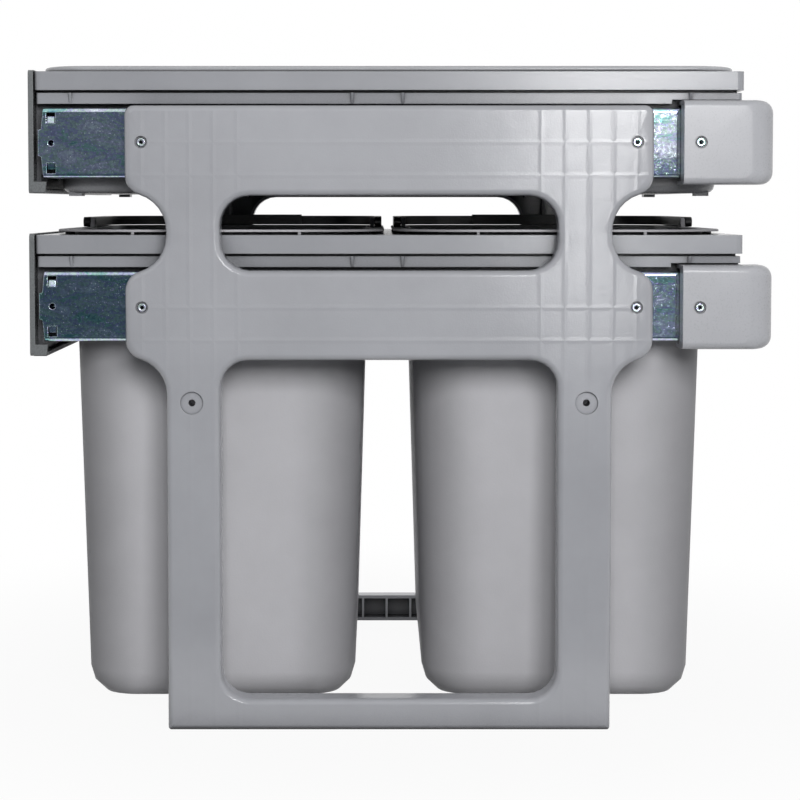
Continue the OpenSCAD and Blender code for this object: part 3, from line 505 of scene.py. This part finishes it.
# Each fill box's name, place, and power in watts.
FILL_BOXES = (("fill_right", (2.0, 0.55, 0.98), 18.5), ("fill_left", (2.0, 0.0, 0.98), 16),
              ("back_right", (-2.0, 0.55, 0.98), 17), ("back_left", (-2.0, -0.45, 0.98), 15),
              ("door_end", (0.5, -2.4, 1.3), 5), ("cap_end", (0.5, 2.4, 1.3), 7))
world = bpy.data.worlds.new("studio")
bpy.context.scene.world = world
world.use_nodes = True
tree = world.node_tree
dim = add_node(tree, "ShaderNodeBackground", {"Color": SKY_TINT, "Strength": SKY_STRENGTH})
white = add_node(tree, "ShaderNodeBackground", {"Color": WHITE})
mixed = add_node(tree, "ShaderNodeMixShader",
                 {0: seen_directly(tree), 1: dim.outputs[0], 2: white.outputs[0]})
tree.links.new(mixed.outputs[0], tree.nodes["World Output"].inputs[0])


def soft_box(name, place, aim, size, power):
    """A rectangular area lamp at a place, turned to face its aim."""
    light = bpy.data.lights.new(name, "AREA")
    light.shape = "RECTANGLE"
    light.size, light.size_y = size
    light.energy = power
    lamp = bpy.data.objects.new(name, light)
    bpy.context.scene.collection.objects.link(lamp)
    lamp.location = place
    lamp.rotation_mode = "QUATERNION"
    lamp.rotation_quaternion = (Vector(aim) - Vector(place)).to_track_quat("-Z", "Y")
    return lamp


for name, (y, z), size, power in KEY_BOXES:
    key = soft_box(name, (KEY_X, y, z), (0, y, z), size, power)
    key.visible_diffuse = False
for name, place, power in FILL_BOXES:
    aim = (math.copysign(FILL_AIM_X, place[0]), 0, FILL_AIM_Z)
    fill = soft_box(name, place, aim, FILL_SIZE, power)
    fill.visible_glossy = False

# Flag.
# Panels on the floor and behind the camera that glow in fixed dark shades, which only reflections see.
# These painted reflections give the steel its dark left ends and its dark lower edges.
FLAG_FRONT_X = 0.40
FLAG_BACK_X = 2.2
FLAG_LEFT_Y = -3.0
FLAG_RIGHT_Y = 1.0
FLAG_FOOT_Z = 0.001
LOW_CLOTH_TOP_Z = 0.36
LOW_CLOTH_TAB = ((0.53, 0.36), (0.51, 0.42), (0.44, 0.42), (0.42, 0.36))
LOW_CLOTH_STEP_Y = 0.30
LOW_CLOTH_STEP_Z = 0.10
SIDE_CLOTH_Y = -0.36
SIDE_CLOTH_TOP_Z = 0.30
WALL_CLOTH_TOP_Z = 0.95
FLAG_SHADES = {"flag_floor": (0.075, 0.105, 0.125, 1), "flag_wall": (0.15, 0.175, 0.20, 1),
               "flag_edge": (0.23, 0.27, 0.31, 1)}
floor_cloth = [(FLAG_FRONT_X, FLAG_LEFT_Y), (FLAG_FRONT_X, FLAG_RIGHT_Y),
               (FLAG_BACK_X, FLAG_RIGHT_Y), (FLAG_BACK_X, FLAG_LEFT_Y)]
low_cloth = [(FLAG_LEFT_Y, FLAG_FOOT_Z), (FLAG_RIGHT_Y, FLAG_FOOT_Z), (FLAG_RIGHT_Y, LOW_CLOTH_TOP_Z),
             *LOW_CLOTH_TAB, (LOW_CLOTH_STEP_Y, LOW_CLOTH_TOP_Z), (LOW_CLOTH_STEP_Y, LOW_CLOTH_STEP_Z),
             (SIDE_CLOTH_Y, LOW_CLOTH_STEP_Z)]
side_cloth = [(FLAG_LEFT_Y, FLAG_FOOT_Z), (SIDE_CLOTH_Y, LOW_CLOTH_STEP_Z),
              (SIDE_CLOTH_Y, SIDE_CLOTH_TOP_Z), (FLAG_LEFT_Y, SIDE_CLOTH_TOP_Z)]
wall_cloth = [(FLAG_LEFT_Y, SIDE_CLOTH_TOP_Z), (SIDE_CLOTH_Y, SIDE_CLOTH_TOP_Z),
              (SIDE_CLOTH_Y, WALL_CLOTH_TOP_Z), (FLAG_LEFT_Y, WALL_CLOTH_TOP_Z)]
flag_corners = [(x, y, FLAG_FOOT_Z) for x, y in floor_cloth]
flag_faces = [tuple(range(len(floor_cloth)))]
for cloth in (low_cloth, side_cloth, wall_cloth):
    first = len(flag_corners)
    flag_corners += [(FLAG_BACK_X, y, z) for y, z in cloth]
    flag_faces.append(tuple(range(first, len(flag_corners))))


def flag_glow_panel(name):
    """A flag panel that glows in one even dark shade, seen only in reflections."""
    material, tree = new_material(name)
    tree.nodes.remove(tree.nodes["Principled BSDF"])
    # Painted reflection: an emission in a fixed dark shade, not a lit cloth.
    glow = add_node(tree, "ShaderNodeEmission", {"Color": FLAG_SHADES[name]})
    tree.links.new(glow.outputs[0], tree.nodes["Material Output"].inputs[0])
    return material


flag = add_mesh("flag", flag_corners, flag_faces, flag_glow_panel("flag_floor"))
flag.data.materials.append(flag_glow_panel("flag_wall"))
flag.data.materials.append(flag_glow_panel("flag_edge"))
for face, shade in zip(flag.data.polygons, ("flag_floor", "flag_edge", "flag_floor", "flag_wall")):
    face.material_index = flag.data.materials.find(shade)
flag.visible_camera = False
flag.visible_diffuse = False
flag.visible_shadow = False
flag.visible_transmission = False

# Camera.
# Level with the gap between the tiers, square to the right-hand frame, tipped slightly down.
# The lens is shifted to the photograph's framing.
CAMERA_PLACE = (1.4818, -0.0148, 0.3445)
CAMERA_PITCH = math.radians(2.984)
IMAGE_SIDE = 800
FOCAL_PIXELS = 2011.8
SENSOR_WIDTH = 36
LENS_SHIFT = (0.0281, -0.115)
FARTHEST_SEEN = 200
camera = bpy.data.objects.new("camera", bpy.data.cameras.new("camera"))
bpy.context.scene.collection.objects.link(camera)
camera.location = CAMERA_PLACE
camera.rotation_euler = (math.pi / 2 - CAMERA_PITCH, 0, math.pi / 2)
camera.data.sensor_width = SENSOR_WIDTH
camera.data.lens = FOCAL_PIXELS * SENSOR_WIDTH / IMAGE_SIDE
camera.data.shift_x, camera.data.shift_y = LENS_SHIFT
camera.data.clip_end = FARTHEST_SEEN
bpy.context.scene.camera = camera
bpy.context.scene.view_settings.view_transform = "Standard"
